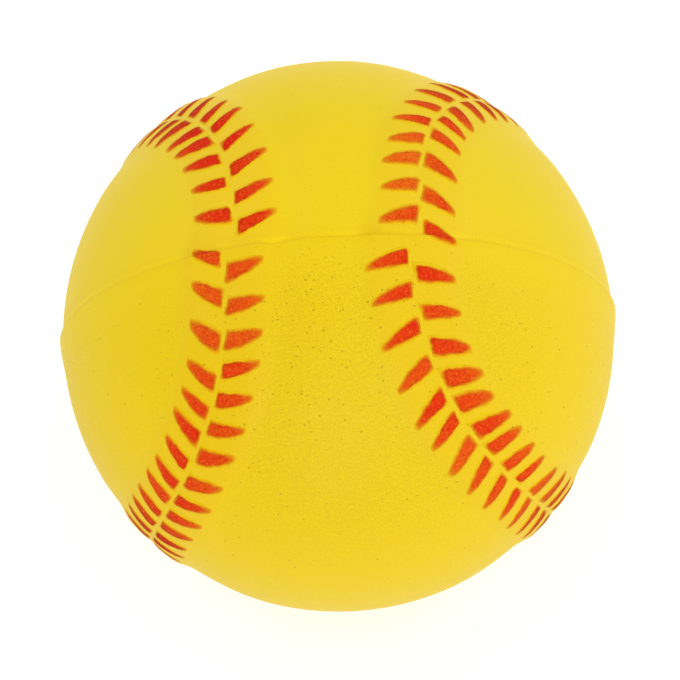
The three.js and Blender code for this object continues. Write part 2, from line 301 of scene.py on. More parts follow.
def rim_height(directions, half):
    """The low shoulder that the lower mould half leaves beside the parting plane."""
    if half == "upper":
        return np.zeros(directions.shape[:-1])
    away = np.arcsin(np.clip(np.abs(directions[..., 1]), 0, 1)) * BALL_RADIUS
    slope = RIM_HEIGHT * np.clip(1 - away / RIM_RUN, 0, 1) ** RIM_POWER
    rounding = RIM_ROUND_DROP * np.clip(1 - away / RIM_ROUND, 0, 1) ** 2
    return slope - rounding


def along_stations():
    """Distances along the upper half's seam, closer together beside the parting plane."""
    near = np.array((0.0,) + PARTING_STEPS)
    middle_start = near[-1]
    count = int(round((HALF_SEAM - 2 * middle_start) / SEAM_STEP / 2)) * 2
    middle = np.linspace(middle_start, HALF_SEAM - middle_start, count + 1)
    return np.concatenate((near[:-1], middle, HALF_SEAM - near[:-1][::-1]))


def parting_feet(alongs, edge):
    """Directions in the parting plane below the panel's edge, led a little away from its ends."""
    angles = np.unwrap(np.arctan2(edge[:, 2], edge[:, 0]))
    from_end = np.minimum(alongs, HALF_SEAM - alongs)
    fading = np.clip(1 - from_end / FOOT_LEAD_END, 0, 1) ** 2
    lead = FOOT_LEAD * from_end * fading / BALL_RADIUS
    lead = np.where(alongs < HALF_SEAM / 2, lead, -lead)
    angles = angles + lead * np.sign(angles[-1] - angles[0])
    return np.stack((np.cos(angles), np.zeros(len(angles)), np.sin(angles)), axis=-1)


def arcs_between(start, end, shares):
    """Rows of directions on the shortest arcs from each start to its end."""
    angle = np.arccos(np.clip(np.sum(start * end, axis=-1), -1, 1))
    angle = np.maximum(angle, 1e-9)[:, None, None]
    shares = shares[None, :, None]
    arcs = np.sin((1 - shares) * angle) * start[:, None] + np.sin(shares * angle) * end[:, None]
    return arcs / np.linalg.norm(arcs, axis=-1, keepdims=True)


class ShellMesh:
    """Collects nets of points into one mesh."""

    def __init__(self):
        self.points = []
        self.faces = []
        self.count = 0

    def net(self, points, inward=False):
        """Adds a net of quads; points is rows by columns by 3."""
        rows, columns = points.shape[:2]
        self.points.append(points.reshape(-1, 3))
        index = np.arange(rows * columns).reshape(rows, columns) + self.count
        quads = np.stack((index[:-1, :-1], index[:-1, 1:], index[1:, 1:], index[1:, :-1]), axis=-1)
        quads = quads.reshape(-1, 4)
        self.faces.append(quads[:, ::-1] if inward else quads)
        self.count += rows * columns

    def build(self, name, matrix):
        """Makes the mesh object, carried to its place by the matrix."""
        mesh = bpy.data.meshes.new(name)
        points = np.concatenate(self.points) @ matrix.T
        mesh.from_pydata(points.tolist(), [], np.concatenate(self.faces).tolist())
        merge_doubles(mesh)
        piece = bpy.data.objects.new(name, mesh)
        bpy.context.scene.collection.objects.link(piece)
        return piece


def merge_doubles(mesh):
    """Joins the nets where they meet, drops empty faces and turns every face outwards."""
    work = bmesh.new()
    work.from_mesh(mesh)
    bmesh.ops.remove_doubles(work, verts=work.verts, dist=MERGE_DISTANCE)
    bmesh.ops.dissolve_degenerate(work, edges=work.edges, dist=EMPTY_EDGE)
    bmesh.ops.recalc_face_normals(work, faces=work.faces)
    work.to_mesh(mesh)
    work.free()


def store_seam_distance(mesh):
    """Keeps on every vertex how far it is from the nearest seam."""
    points = np.empty(3 * len(mesh.vertices), dtype=np.float32)
    mesh.vertices.foreach_get("co", points)
    directions = points.reshape(-1, 3)
    directions = directions / np.linalg.norm(directions, axis=1, keepdims=True)
    turns = np.interp(np.linspace(0, HALF_SEAM, PATH_SAMPLES // 2 + 1), ARC_LENGTHS, ARC_TURNS)
    seams = [seam_point(turns) @ half_matrix(half).T for half in ("upper", "lower")]
    nearness = (directions @ np.concatenate(seams).astype(np.float32).T).max(axis=1)
    attribute = mesh.attributes.new("seam_distance", "FLOAT", "POINT")
    attribute.data.foreach_set("value", np.arccos(np.clip(nearness, -1, 1)) * BALL_RADIUS)


def make_skin(half):
    """One mould half of the skin: seam band, front and back panels, parting face and lining."""
    shell = ShellMesh()
    alongs = along_stations()
    lines = np.array([-line for line in BAND_LINES[:0:-1]] + list(BAND_LINES))
    stations = len(alongs)

    # The band along the seam
    grid_along, grid_line = np.meshgrid(alongs, lines, indexing="ij")
    directions = seam_direction(grid_along, band_place(grid_along, grid_line))
    away = np.abs(grid_line)
    height = np.where(
        grid_line < 0, eased_profile(away, FRONT_RELIEF), eased_profile(away, BACK_RELIEF),
    )
    height = height + rim_height(directions, half)
    band = directions * (BALL_RADIUS + height)[..., None]
    shell.net(band)

    # The front panel, spanned from one side of the band to the other
    front_edge = seam_direction(alongs, band_place(alongs, np.full(stations, -BAND_EDGE)))
    middle = stations // 2
    start = front_edge[:middle + 1]
    end = front_edge[::-1][:middle + 1]
    arcs = arcs_between(start, end, np.linspace(0, 1, NECK_STEPS + 1))
    front = arcs * (BALL_RADIUS + rim_height(arcs, half))[..., None]
    shell.net(front)

    # The back panel, spanned from the band to the parting plane
    back_edge = seam_direction(alongs, np.full(stations, BAND_EDGE))
    back_edge[[0, -1], 1] = 0.0
    feet = parting_feet(alongs, back_edge)
    shares = 1 - np.linspace(1, 0, BACK_STEPS + 1) ** BACK_CROWDING
    arcs = arcs_between(back_edge, feet, shares)
    arcs[:, -1, 1] = 0.0
    back = arcs * (BALL_RADIUS + rim_height(arcs, half))[..., None]
    shell.net(back)

    # The parting face, and the lining as a dome of rings inside
    loop = np.concatenate((band[0], back[1:, -1], band[-1][::-1][1:], front[0][::-1][1:]))
    loop[:, 1] = 0.0
    inner = loop / np.linalg.norm(loop, axis=1, keepdims=True)
    lining_radius = BALL_RADIUS - SKIN_THICKNESS
    shell.net(np.stack((loop, inner * lining_radius)))
    climb = np.linspace(0, math.pi / 2, LINING_RINGS + 1)[:, None, None]
    rings = np.cos(climb) * inner[None] + np.sin(climb) * np.array((0, 1, 0))
    shell.net(rings * lining_radius, inward=True)

    piece = shell.build(f"{half}_moulded_skin", half_matrix(half))
    for polygon in piece.data.polygons:
        polygon.use_smooth = True
    piece.data.set_sharp_from_angle(angle=SHARP_ANGLE)
    store_seam_distance(piece.data)
    return piece


# Core

def make_core(radius):
    """The foam ball inside, its surface pitted with cells."""
    mesh = bpy.data.meshes.new("cellular_foam_core")
    work = bmesh.new()
    bmesh.ops.create_icosphere(work, subdivisions=CORE_SUBDIVISIONS, radius=1.0)
    for vertex in work.verts:
        away = vertex.co.normalized()
        cells = noise.voronoi(away * radius / CELL_SIZE)[0]
        dent = CELL_DEPTH * max(0.0, 1.0 - CELL_STEEPNESS * cells[0])
        vertex.co = away * (radius - dent)
    for face in work.faces:
        face.smooth = True
    work.to_mesh(mesh)
    work.free()
    piece = bpy.data.objects.new("cellular_foam_core", mesh)
    bpy.context.scene.collection.objects.link(piece)
    return piece


# Node trees

class Net:
    """Adds nodes to a tree and joins them; any input may be a socket or a plain value."""

    def __init__(self, tree):
        self.tree = tree
        self.placed = 0

    def add(self, kind, *values, **settings):
        """A node whose first inputs take the given values, in order; None leaves one alone."""
        node = self.tree.nodes.new(kind)
        node.location = (190 * (self.placed // 6), -170 * (self.placed % 6))
        self.placed += 1
        for name, value in settings.items():
            setattr(node, name, value)
        for place, value in enumerate(values):
            if value is not None:
                self.feed(node.inputs[place], value)
        return node

    def feed(self, socket, value):
        """Links a socket to an input, or gives the input a plain value."""
        if isinstance(value, bpy.types.NodeSocket):
            self.tree.links.new(value, socket)
        else:
            socket.default_value = value

    def set(self, node, **values):
        """Feeds inputs by name, with underscores for spaces."""
        for name, value in values.items():
            self.feed(node.inputs[name.replace("_", " ")], value)
        return node

    def math(self, operation, a, b=None, c=None, clamp=False):
        node = self.add("ShaderNodeMath", a, b, c, operation=operation, use_clamp=clamp)
        return node.outputs[0]

    def vector_math(self, operation, a, b=None):
        node = self.add("ShaderNodeVectorMath", operation=operation)
        self.feed(node.inputs[0], a)
        if b is not None:
            self.feed(node.inputs["Scale" if operation == "SCALE" else 1], b)
        return node.outputs["Value" if operation in ("DOT_PRODUCT", "LENGTH") else "Vector"]

    def ease(self, value, start, end, low=0.0, high=1.0):
        """Smoothly maps start..end to low..high."""
        node = self.add("ShaderNodeMapRange", interpolation_type="SMOOTHSTEP")
        self.set(node, Value=value, From_Min=start, From_Max=end, To_Min=low, To_Max=high)
        return node.outputs["Result"]

    def distance(self, place, middle):
        away = self.vector_math("SUBTRACT", place, middle)
        return self.vector_math("LENGTH", away)

    def noise(self, place, per_metre, detail, offset, roughness=0.5):
        """Cloudy noise around one half; the offset moves it, so that no two are alike."""
        moved = self.vector_math("ADD", place, (offset, offset, offset))
        node = self.add("ShaderNodeTexNoise")
        self.set(node, Vector=moved, Scale=per_metre, Detail=detail, Roughness=roughness)
        return node.outputs["Fac"]

    def mix_colour(self, share, a, b):
        node = self.add("ShaderNodeMix", data_type="RGBA")
        self.feed(node.inputs[0], share)
        self.feed(node.inputs[6], a)
        self.feed(node.inputs[7], b)
        return node.outputs[2]


def linear(red, green, blue):
    """A display colour, 0 to 255 in each channel, as scene light."""
    def channel(value):
        value /= 255
        return value / 12.92 if value <= 0.04045 else ((value + 0.055) / 1.055) ** 2.4
    return (channel(red), channel(green), channel(blue), 1.0)


def new_group(name, tree_type, inputs, outputs):
    """An empty node group with named sockets, given as name, kind and default value."""
    tree = bpy.data.node_groups.new(name, tree_type)
    for socket_name, kind, value in inputs:
        socket = tree.interface.new_socket(socket_name, in_out="INPUT", socket_type=kind)
        if value is not None:
            socket.default_value = value
    for socket_name, kind in outputs:
        tree.interface.new_socket(socket_name, in_out="OUTPUT", socket_type=kind)
    net = Net(tree)
    return tree, net, net.add("NodeGroupInput").outputs, net.add("NodeGroupOutput").inputs


def place_group(net, group, **values):
    """A copy of a node group in a material, its inputs fed by name."""
    node = net.add("ShaderNodeGroup", node_tree=group)
    return net.set(node, **values)


# Moulded skin finish

def moulded_skin_group():
    """Colour, roughness and height of the foam's moulded skin, with pinholes and fine grain, and
    painted highlight and painted shade beside the parting plane.
    """
    group, net, given, out = new_group(
        "moulded_skin", "ShaderNodeTree",
        (
            ("Yellow", "NodeSocketColor", linear(237, 206, 16)),
            ("Shaded Yellow", "NodeSocketColor", linear(232, 204, 22)),
            ("Dark Grain", "NodeSocketColor", linear(196, 164, 0)),
            ("Pinhole Shade", "NodeSocketColor", linear(158, 142, 16)),
            ("Warm Yellow", "NodeSocketColor", linear(235, 201, 2)),
            ("Seam Distance", "NodeSocketFloat", 1.0),
            ("Haze", "NodeSocketColor", linear(226, 148, 10)),
            ("Highlight Yellow", "NodeSocketColor", linear(252, 222, 0)),
            ("Crease Shade Yellow", "NodeSocketColor", linear(232, 201, 0)),
            ("Mottle", "NodeSocketFloat", 0.38),
        ),
        (
            ("Color", "NodeSocketColor"),
            ("Roughness", "NodeSocketFloat"),
            ("Height", "NodeSocketFloat"),
        ),
    )
    place = net.add("ShaderNodeTexCoord").outputs["Object"]

    def cloud(per_metre, detail, offset):
        return net.noise(place, per_metre, detail, offset, roughness=0.55)

    broad = net.ease(cloud(24.0, 2.0, 0.31), 0.35, 0.65)
    mottle = net.ease(cloud(3200.0, 3.0, 0.7), 0.34, 0.68)

    # The upper mould half was smoother than the lower one, which grows rough past its edge
    from_parting = net.add("ShaderNodeSeparateXYZ", place).outputs[1]
    warmth = net.ease(from_parting, -WARMTH_REACH, WARMTH_REACH, 1.0, 0.0)
    rough_half = net.ease(from_parting, ROUGH_PAST, ROUGH_FROM, 1.0, 0.3)
    colour = net.mix_colour(warmth, given["Yellow"], given["Warm Yellow"])
    colour = net.mix_colour(net.math("MULTIPLY", broad, 0.5), colour, given["Shaded Yellow"])

    # Beside the parting plane a painted highlight of fuller yellow lies just inside the upper half,
    # against the shadow that the lower half's rim casts there
    above = net.math("GREATER_THAN", from_parting, 0.0)
    painted_highlight = net.math("MULTIPLY", above, net.ease(from_parting, *HIGHLIGHT_BAND, 0.58, 0.0))
    below = net.math("SUBTRACT", 1.0, above)
    # Painted shade: a darker yellow along the crease just inside the lower half
    crease_shade = net.math("MULTIPLY", below, net.ease(from_parting, -CREASE_SHADE_BAND, 0.0, 0.0, 0.8))
    colour = net.mix_colour(painted_highlight, colour, given["Highlight Yellow"])
    colour = net.mix_colour(crease_shade, colour, given["Crease Shade Yellow"])

    # A faint haze of stray spray along the seam
    haze = net.ease(given["Seam Distance"], *HAZE_FADE, 0.12, 0.0)
    colour = net.mix_colour(haze, colour, given["Haze"])

    # Dark mottle, strongest at the roughest spot and weak on the seam's shoulders
    middle, reach = ROUGHEST_SPOT
    away = net.distance(place, middle)
    coarse = net.ease(away, 0.4 * reach, reach, 1.0, 0.3)
    off_shoulder = net.ease(given["Seam Distance"], *SMOOTH_SHOULDER, 0.45, 1.0)
    coarse = net.math("MULTIPLY", coarse, off_shoulder)
    mottle = net.math("MULTIPLY", mottle, coarse)
    mottle = net.math("MULTIPLY", mottle, rough_half)
    mottle = net.math("MULTIPLY", mottle, given["Mottle"])
    colour = net.mix_colour(mottle, colour, given["Dark Grain"])

    # Pinholes: a thin scatter of tiny open bubbles, thicker in some places than in others; the darker
    # colour in them is painted shade
    bubbles = net.add("ShaderNodeTexVoronoi", feature="F1")
    net.set(bubbles, Vector=place, Scale=PINHOLES_PER_METRE)
    draws = net.add("ShaderNodeSeparateColor", bubbles.outputs["Color"]).outputs
    crowd = net.math("MULTIPLY", net.ease(cloud(40.0, 1.0, 0.93), 0.36, 0.68, 0.15, 0.8), coarse)
    open_here = net.math("LESS_THAN", draws[0], crowd)
    radius = net.math("MULTIPLY_ADD", draws[1], 0.16, 0.12)
    nearness = net.math("DIVIDE", bubbles.outputs["Distance"], radius)
    hole = net.ease(nearness, 0.3, 1.0, 1.0, 0.0)
    hole = net.math("MULTIPLY", net.math("MULTIPLY", hole, open_here), rough_half)
    # Painted shade inside the pinholes
    colour = net.mix_colour(net.math("MULTIPLY", hole, 0.6), colour, given["Pinhole Shade"])
    net.feed(out["Color"], colour)

    rough = net.math("MULTIPLY_ADD", cloud(900.0, 2.0, 0.17), 0.16, 0.44)
    net.feed(out["Roughness"], rough)

    # Relief: fine grain, a broader orange peel, both weaker in the upper half, and the pinholes
    grain = net.math("MULTIPLY", cloud(1900.0, 2.0, 0.7), GRAIN_DEPTH)
    peel = net.math("MULTIPLY", cloud(420.0, 2.0, 0.41), PEEL_DEPTH)
    height = net.math("ADD", grain, peel)
    height = net.math("MULTIPLY", height, net.ease(rough_half, 0.0, 1.0, 0.5, 1.0))
    height = net.math("SUBTRACT", height, net.math("MULTIPLY", hole, PINHOLE_DEPTH))
    net.feed(out["Height"], height)
    return group


def new_material(name):
    """A material with its shader and output, and the net to build the rest with."""
    material = bpy.data.materials.new(name)
    material.use_nodes = True
    material.node_tree.nodes.clear()
    net = Net(material.node_tree)
    shader = net.add("ShaderNodeBsdfPrincipled")
    output = net.add("ShaderNodeOutputMaterial")
    net.feed(output.inputs["Surface"], shader.outputs[0])
    return material, net, shader


def add_bump(net, shader, height):
    bump = net.add("ShaderNodeBump")
    net.set(bump, Strength=1.0, Distance=1.0, Height=height)
    net.feed(shader.inputs["Normal"], bump.outputs[0])


def skin_material(skin):
    """The foam's moulded yellow skin."""
    material, net, shader = new_material("yellow_skin")
    from_seam = net.add("ShaderNodeAttribute", attribute_name="seam_distance").outputs["Fac"]
    finish = place_group(net, skin, Seam_Distance=from_seam)
    net.set(
        shader, Base_Color=finish.outputs["Color"], Roughness=finish.outputs["Roughness"],
        IOR=1.45, Specular_IOR_Level=0.2,
    )
    add_bump(net, shader, finish.outputs["Height"])
    return material


def foam_material():
    """The cellular foam inside, with open bubbles."""
    material, net, shader = new_material("cellular_foam")
    place = net.add("ShaderNodeTexCoord").outputs["Object"]
    cells = net.add("ShaderNodeTexVoronoi", feature="SMOOTH_F1")
    net.set(cells, Vector=place, Scale=900.0)
    # Painted shade: the cells' hollows are darker, their walls paler
    wall = net.ease(cells.outputs["Distance"], 0.1, 0.7)
    colour = net.mix_colour(wall, linear(214, 196, 120), linear(244, 232, 176))
    net.set(shader, Base_Color=colour, Roughness=0.9)
    add_bump(net, shader, net.math("MULTIPLY", wall, CELL_WALL_HEIGHT))
    return material


# Sprayed stitch marks

def sprayed_mark_group():
    """The share of red paint on a mark's pad, and its colour, from the mark's own map."""
    group, net, given, out = new_group(
        "sprayed_mark", "ShaderNodeTree",
        (
            ("Aside", "NodeSocketFloat", 0.0),
            ("Outward", "NodeSocketFloat", 0.0),
            ("Random", "NodeSocketFloat", 0.5),
            ("Length", "NodeSocketFloat", MARK_LENGTH),
            ("Root Width", "NodeSocketFloat", MARK_ROOT_WIDTH),
            ("Tip Width", "NodeSocketFloat", MARK_TIP_WIDTH),
            ("Taper", "NodeSocketFloat", MARK_TAPER),
            ("Red", "NodeSocketColor", linear(222, 32, 10)),
            ("Thin Red", "NodeSocketColor", linear(231, 92, 14)),
            ("Dark Grain", "NodeSocketColor", linear(184, 22, 0)),
            ("Light Grain", "NodeSocketColor", linear(242, 118, 46)),
            ("Edge", "NodeSocketColor", linear(190, 52, 0)),
            ("Corner Round", "NodeSocketFloat", CORNER_ROUND),
            ("Crisp Edge", "NodeSocketFloat", CRISP_EDGE),
            ("Soft Edge", "NodeSocketFloat", SOFT_EDGE),
            ("Mist Reach", "NodeSocketFloat", MIST_REACH),
        ),
        (("Paint", "NodeSocketFloat"), ("Mist", "NodeSocketFloat"), ("Color", "NodeSocketColor")),
    )
    place = net.add("ShaderNodeTexCoord").outputs["Object"]

    def cloud(per_metre, detail, offset):
        return net.noise(place, per_metre, detail, offset)

    # Distance to the mark's edge, inside negative
    share = net.math("DIVIDE", given["Outward"], given["Length"], clamp=True)
    taper = net.math("MULTIPLY_ADD", given["Random"], 0.5, 0.75)
    taper = net.math("MULTIPLY", given["Taper"], taper)
    fall = net.math("SUBTRACT", 1.0, net.math("POWER", share, taper))
    spread = net.math("SUBTRACT", given["Root Width"], given["Tip Width"])
    width = net.math("MULTIPLY_ADD", spread, fall, given["Tip Width"])
    half_width = net.math("MULTIPLY", width, 0.5)
    side_gap = net.math("SUBTRACT", net.math("ABSOLUTE", given["Aside"]), half_width)
    root_gap = net.math("MULTIPLY", given["Outward"], -1.0)
    tip_gap = net.math("SUBTRACT", given["Outward"], given["Length"])
    end_gap = net.math("MAXIMUM", root_gap, tip_gap)
    gap = net.math("SMOOTH_MAX", side_gap, end_gap, given["Corner Round"])
    ragged = net.math("SUBTRACT", cloud(640.0, 2.0, 0.3), 0.5)
    ragged = net.math("MULTIPLY", ragged, RAGGED_REACH)
    crumbly = net.math("SUBTRACT", cloud(2600.0, 2.0, 0.6), 0.5)
    crumbly = net.math("MULTIPLY", crumbly, CRUMBLE_REACH)
    gap = net.math("ADD", gap, net.math("ADD", ragged, crumbly))

    # How thin the spray is: in a slow drift over the ball, away from the thickest spot, in the thin
    # spots, and towards the tips
    fade = net.ease(cloud(30.0, 1.0, 0.17), 0.5, 0.75, 0.0, 0.24)
    middle, reach = THICK_SPOT
    away = net.distance(place, middle)
    fade = net.math("MAXIMUM", fade, net.ease(away, 0.4 * reach, reach, 0.0, 0.26))
    for middle, reach, strength in THIN_SPOTS:
        away = net.distance(place, middle)
        fade = net.math("MAXIMUM", fade, net.ease(away, 0.3 * reach, 1.2 * reach, strength, 0.0))
    to_tip = net.math("MULTIPLY", net.math("POWER", share, 3.0), 0.4)
    fade = net.math("ADD", fade, net.math("MULTIPLY_ADD", given["Random"], 0.3, to_tip))
    fade = net.math("SUBTRACT", fade, 0.12, clamp=True)

    # A crisp edge where the mask sat tight, a soft one where it stood off
    stood_off = net.math("MULTIPLY_ADD", fade, 0.4, cloud(230.0, 1.0, 0.8))
    crisp_edge, soft_edge = given["Crisp Edge"], given["Soft Edge"]
    soft = net.ease(stood_off, 0.42, 0.9, crisp_edge, soft_edge)
    soft = net.math("ADD", soft, net.ease(share, 0.6, 1.0, 0.0, TIP_SOFTNESS))
    paint = net.ease(net.math("DIVIDE", gap, soft), -1.0, 1.0, 1.0, 0.0)
    mist = net.ease(gap, net.math("MULTIPLY", crisp_edge, -1.0), given["Mist Reach"], 1.0, 0.0)
    mist = net.math("MULTIPLY", mist, net.ease(soft, crisp_edge, soft_edge, 0.38, 0.62))

    # Thin spray lets the skin through between its drops, and a few drops missed altogether
    drops = net.ease(cloud(2300.0, 2.0, 0.52), 0.42, 0.68)
    thin = net.math("MULTIPLY", drops, net.math("MULTIPLY", fade, 0.3))
    specks = net.add("ShaderNodeTexVoronoi", feature="F1")
    net.set(specks, Vector=place, Scale=2600.0)
    chance = net.add("ShaderNodeSeparateColor", specks.outputs["Color"]).outputs[0]
    missed = net.math("LESS_THAN", chance, net.ease(gap, *MARK_MIDDLE, 0.12, 0.02))
    bare = net.ease(specks.outputs["Distance"], 0.14, 0.42, 0.6, 0.0)
    bare = net.math("MULTIPLY", missed, bare)
    paint = net.math("MULTIPLY", paint, net.math("SUBTRACT", 1.0, net.math("MAXIMUM", bare, thin)))
    net.feed(out["Paint"], paint)
    net.feed(out["Mist"], mist)

    # Spray is dull and brownish in a thin line at the mask's edge, and darkest in the grain
    hollows = net.ease(cloud(2000.0, 2.0, 0.7), 0.46, 0.72)
    colour = net.mix_colour(fade, given["Red"], given["Thin Red"])
    colour = net.mix_colour(net.math("MULTIPLY", hollows, 0.5), colour, given["Dark Grain"])
    bumps = net.ease(cloud(2600.0, 1.0, 0.23), 0.58, 0.74)
    colour = net.mix_colour(net.math("MULTIPLY", bumps, 0.45), colour, given["Light Grain"])
    rim = net.ease(gap, *DULL_LINE)
    net.feed(out["Color"], net.mix_colour(net.math("MULTIPLY", rim, 0.8), colour, given["Edge"]))
    return group


def mark_material(skin, sprayed):
    """Skin with the marks' paint on it, each mark's laid out by the map that its pad keeps."""
    material, net, shader = new_material("sprayed_red")
    local = net.add("ShaderNodeAttribute", attribute_name="mark_place").outputs["Vector"]
    local = net.add("ShaderNodeSeparateXYZ", local)
    random = net.add("ShaderNodeAttribute", attribute_name="mark_random").outputs["Fac"]
    from_seam = net.add("ShaderNodeAttribute", attribute_name="seam_distance").outputs["Fac"]
    finish = place_group(net, skin, Seam_Distance=from_seam)
    spray = place_group(
        net, sprayed, Aside=local.outputs[0], Outward=local.outputs[1], Random=random,
    )
    mist_orange = linear(238, 140, 20)
    misted = net.mix_colour(spray.outputs["Mist"], finish.outputs["Color"], mist_orange)
    colour = net.mix_colour(spray.outputs["Paint"], misted, spray.outputs["Color"])

    # Painted shade: the paint is darkened to brown where it is seen at a slant, towards the ball's
    # outline
    limb_shade = net.add("ShaderNodeLayerWeight", 0.5).outputs["Facing"]
    limb_shade = net.math("MULTIPLY", net.ease(limb_shade, 0.45, 0.9, 0.0, 0.55), spray.outputs["Paint"])
    limb_shade_brown = linear(128, 34, 2)
    colour = net.mix_colour(limb_shade, colour, limb_shade_brown)
    rough = net.math("MULTIPLY_ADD", spray.outputs["Paint"], 0.3, finish.outputs["Roughness"])
    film = net.math("MULTIPLY", spray.outputs["Paint"], PAINT_FILM)
    net.set(
        shader, Base_Color=colour, Roughness=rough, IOR=1.45, Specular_IOR_Level=0.08,
    )
    add_bump(net, shader, net.math("ADD", finish.outputs["Height"], film))
    return material


def mark_row_tree():
    """Marks at the seats of a seam path: a pad for each, raised under its wedge of paint."""
    tree, net, given, out = new_group(
        "stitch_mark_row", "GeometryNodeTree",
        (
            ("Path", "NodeSocketGeometry", None),
            ("Skin", "NodeSocketObject", None),
            ("Facing Skin", "NodeSocketObject", None),
            ("Finish", "NodeSocketMaterial", None),
            ("Side", "NodeSocketFloat", 1.0),
            ("Half Side", "NodeSocketFloat", 1.0),
            ("Trail", "NodeSocketFloat", 2.0 * MM),
            ("Root Gap", "NodeSocketFloat", MARK_ROOT_GAP),
            ("Length", "NodeSocketFloat", MARK_LENGTH),
            ("Root Width", "NodeSocketFloat", MARK_ROOT_WIDTH),
            ("Tip Width", "NodeSocketFloat", MARK_TIP_WIDTH),
            ("Taper", "NodeSocketFloat", MARK_TAPER),
            ("Margin", "NodeSocketFloat", MARK_MARGIN),
            ("Crown", "NodeSocketFloat", MARK_CROWN),
            ("Sink", "NodeSocketFloat", MARK_SINK),
            ("Depth", "NodeSocketFloat", MARK_DEPTH),
            ("Ball Radius", "NodeSocketFloat", BALL_RADIUS),
            ("Snap", "NodeSocketFloat", MARK_SNAP),
            ("Crossing Reach", "NodeSocketFloat", CROSSING_REACH),
            ("Crossing Lift", "NodeSocketFloat", CROSSING_LIFT),
            ("Parting Clearance", "NodeSocketFloat", PARTING_CLEARANCE),
            ("Seed", "NodeSocketInt", 0),
        ),
        (("Marks", "NodeSocketGeometry"),),
    )

    # The pad: aside runs -1 to 1 over its width, and outward from a little before the paint's seam
    # end to a margin past its point
    pad = net.add("GeometryNodeMeshCube", (2.0, 1.0, 1.0), 5, 8, 2).outputs["Mesh"]
    grid = net.add("ShaderNodeSeparateXYZ", net.add("GeometryNodeInputPosition").outputs[0])
    aside = grid.outputs[0]
    before = net.math("MULTIPLY", given["Margin"], 0.7)
    span = net.math("MULTIPLY_ADD", given["Margin"], 1.7, given["Length"])
    start = net.math("MULTIPLY", before, -1.0)
    outward = net.math("MULTIPLY_ADD", net.math("ADD", grid.outputs[1], 0.5), span, start)
    share = net.math("DIVIDE", outward, given["Length"], clamp=True)
    fall = net.math("SUBTRACT", 1.0, net.math("POWER", share, given["Taper"]))
    spread = net.math("SUBTRACT", given["Root Width"], given["Tip Width"])
    half_width = net.math("MULTIPLY_ADD", spread, fall, given["Tip Width"])
    half_width = net.math("MULTIPLY", half_width, 0.5)
    reach = net.math("ABSOLUTE", aside)
    inside = net.math("MULTIPLY", net.math("MINIMUM", reach, 0.5), 2.0)
    outside = net.math("MAXIMUM", net.math("SUBTRACT", reach, 0.5), 0.0)
    beyond = net.math("MULTIPLY", net.math("MULTIPLY", outside, 2.0), given["Margin"])
    across = net.math("MULTIPLY_ADD", inside, half_width, beyond)
    across = net.math("MULTIPLY", across, net.math("SIGN", aside))

    def leaning(distance):
        """How far the mark's middle line has moved aside at a distance outward."""
        share = net.math("MAXIMUM", net.math("DIVIDE", distance, given["Length"]), 0.0)
        trail = net.math("MULTIPLY", given["Trail"], given["Side"])
        return net.math("MULTIPLY", net.math("POWER", share, 1.25), trail)

    lean = leaning(outward)

    # How far each point stands over the skin: a crown under the paint, its edges sunk in the skin
    dome = net.ease(reach, 0.55, 1.0, 1.0, 0.0)
    root_rise = net.ease(outward, start, before)
    tip_fall = net.ease(share, 0.6, 1.0, 1.0, 0.7)
    past = net.math("ADD", given["Length"], given["Margin"])
    end_fall = net.ease(outward, given["Length"], past, 1.0, 0.0)
    dome = net.math("MULTIPLY", dome, root_rise)
    dome = net.math("MULTIPLY", dome, net.math("MULTIPLY", tip_fall, end_fall))
    rise = net.math("MULTIPLY", net.math("ADD", given["Crown"], given["Sink"]), dome)
    rise = net.math("SUBTRACT", rise, given["Sink"])
    underside = net.math("LESS_THAN", grid.outputs[2], 0.0)
    low = net.math("MULTIPLY", net.math("ADD", given["Sink"], given["Depth"]), -1.0)
    rise = net.add("GeometryNodeSwitch", underside, rise, low, input_type="FLOAT").outputs[0]

    def keep(geometry, name, value, kind="FLOAT", domain="POINT"):
        node = net.add("GeometryNodeStoreNamedAttribute", data_type=kind, domain=domain)
        net.set(node, Geometry=geometry, Name=name, Value=value)
        return node.outputs[0]

    pad = keep(pad, "mark_rise", rise)
    flat = net.add(
        "ShaderNodeCombineXYZ", net.math("ADD", across, lean),
        net.math("ADD", outward, given["Root Gap"]), net.math("MULTIPLY", underside, -1.0 * MM),
    )
    shaped = net.add("GeometryNodeSetPosition")
    net.set(shaped, Geometry=pad, Position=flat.outputs[0])

    def random(low_end, high_end, seed_shift):
        node = net.add("FunctionNodeRandomValue", data_type="FLOAT")
        net.feed(node.inputs[2], low_end)
        net.feed(node.inputs[3], high_end)
        net.feed(node.inputs["Seed"], net.math("ADD", given["Seed"], seed_shift))
        return node.outputs[1]

    def stored(name, kind="FLOAT"):
        node = net.add("GeometryNodeInputNamedAttribute", data_type=kind)
        net.set(node, Name=name)
        return node.outputs[0]

